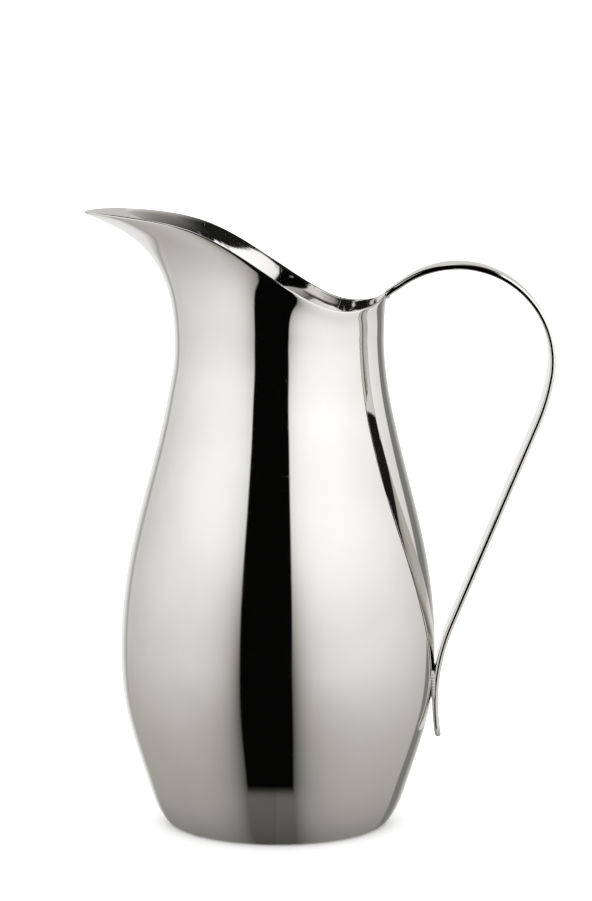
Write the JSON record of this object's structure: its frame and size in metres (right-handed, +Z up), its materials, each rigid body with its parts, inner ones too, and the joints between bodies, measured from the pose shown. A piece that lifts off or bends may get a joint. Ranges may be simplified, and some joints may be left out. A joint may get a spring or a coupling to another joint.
{
  "type": "water pitcher",
  "caption": "Polished steel water pitcher with a round belly, a wide flared pouring lip and a long bent strap handle welded on.",
  "frame": {"origin": "centre of the foot ring, on the surface the pitcher stands on", "axes": "+Z up along the vessel's axis; the pouring lip points along -X and the handle along +X; symmetric about the XZ plane"},
  "size_m": [0.1917, 0.129, 0.2512],
  "materials": {
    "polished_steel": "mirror-polished stainless steel",
    "strap_steel": "mirror-polished stainless steel strip with rounded edges",
    "satin_steel": "satin stainless steel",
    "weld_metal": "dressed weld bead"
  },
  "bodies": {
    "root": {"body_shell": "polished_steel", "handle_strap": "strap_steel", "base_disc": "satin_steel", "base_seam_weld": "weld_metal", "upper_handle_weld": "weld_metal", "lower_handle_weld_left": "weld_metal", "lower_handle_weld_right": "weld_metal"}
  },
  "joints": []
}
